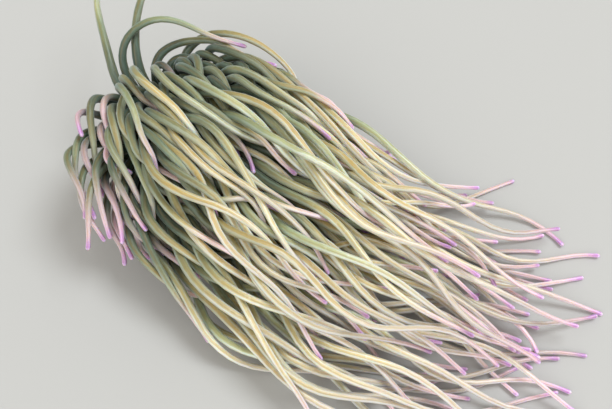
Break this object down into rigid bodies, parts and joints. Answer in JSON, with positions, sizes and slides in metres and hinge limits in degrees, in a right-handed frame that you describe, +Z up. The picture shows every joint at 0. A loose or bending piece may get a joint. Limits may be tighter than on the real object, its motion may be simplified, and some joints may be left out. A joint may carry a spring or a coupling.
{
  "type": "sea anemone",
  "caption": "Life-size snakelocks sea anemone: a low foot and leaning column under a domed disc, with long lilac-tipped tentacles swept to one side and settling on the floor",
  "frame": {"origin": "centre of the foot's flat underside, on the floor", "axes": "+Z up; the tentacles stream towards +X and -Y; +X is the picture's right, and +Y points away from the picture's viewer along the floor; Y is the longest extent, 280 mm against 273 mm along X, because two tentacles stand up and fall back towards +Y"},
  "size_m": [0.2729, 0.28, 0.0867],
  "materials": {
    "column_skin": "smooth moist flesh, brown-grey, stood in for by soft rubber",
    "disc_skin": "smooth moist flesh, olive-brown with fine radial lines, stood in for by soft rubber",
    "tentacle_skin": "soft translucent moist flesh, olive at the root through cream to lilac and purple at the tip, stood in for by soft rubber"
  },
  "bodies": {
    "root": {"foot": "column_skin", "column": "column_skin", "collar": "column_skin", "oral_disc": "disc_skin", "mouth": "disc_skin", "tentacles_1a": "tentacle_skin", "tentacles_1b": "tentacle_skin", "tentacles_1c": "tentacle_skin", "tentacles_1d": "tentacle_skin", "tentacles_1e": "tentacle_skin", "tentacles_1f": "tentacle_skin", "tentacles_2a": "tentacle_skin", "tentacles_2b": "tentacle_skin", "tentacles_2c": "tentacle_skin", "tentacles_2d": "tentacle_skin", "tentacles_2e": "tentacle_skin", "tentacles_2f": "tentacle_skin", "tentacles_3a": "tentacle_skin", "tentacles_3b": "tentacle_skin", "tentacles_3c": "tentacle_skin", "tentacles_3d": "tentacle_skin", "tentacles_3e": "tentacle_skin", "tentacles_3f": "tentacle_skin", "tentacles_4a": "tentacle_skin", "tentacles_4b": "tentacle_skin", "tentacles_4c": "tentacle_skin", "tentacles_4d": "tentacle_skin", "tentacles_4e": "tentacle_skin", "tentacles_4f": "tentacle_skin", "tentacles_4g": "tentacle_skin", "tentacles_4h": "tentacle_skin", "tentacles_4i": "tentacle_skin", "tentacles_4j": "tentacle_skin", "tentacles_4k": "tentacle_skin", "tentacles_4l": "tentacle_skin", "tentacles_5a": "tentacle_skin", "tentacles_5b": "tentacle_skin", "tentacles_5c": "tentacle_skin", "tentacles_5d": "tentacle_skin", "tentacles_5e": "tentacle_skin", "tentacles_5f": "tentacle_skin", "tentacles_5g": "tentacle_skin", "tentacles_5h": "tentacle_skin", "tentacles_5i": "tentacle_skin", "tentacles_5j": "tentacle_skin", "tentacles_5k": "tentacle_skin", "tentacles_5l": "tentacle_skin", "tentacles_6a": "tentacle_skin", "tentacles_6b": "tentacle_skin", "tentacles_6c": "tentacle_skin", "tentacles_6d": "tentacle_skin", "tentacles_6e": "tentacle_skin", "tentacles_6f": "tentacle_skin", "tentacles_6g": "tentacle_skin", "tentacles_6h": "tentacle_skin", "tentacles_6i": "tentacle_skin", "tentacles_6j": "tentacle_skin", "tentacles_6k": "tentacle_skin", "tentacles_6l": "tentacle_skin"}
  },
  "joints": []
}
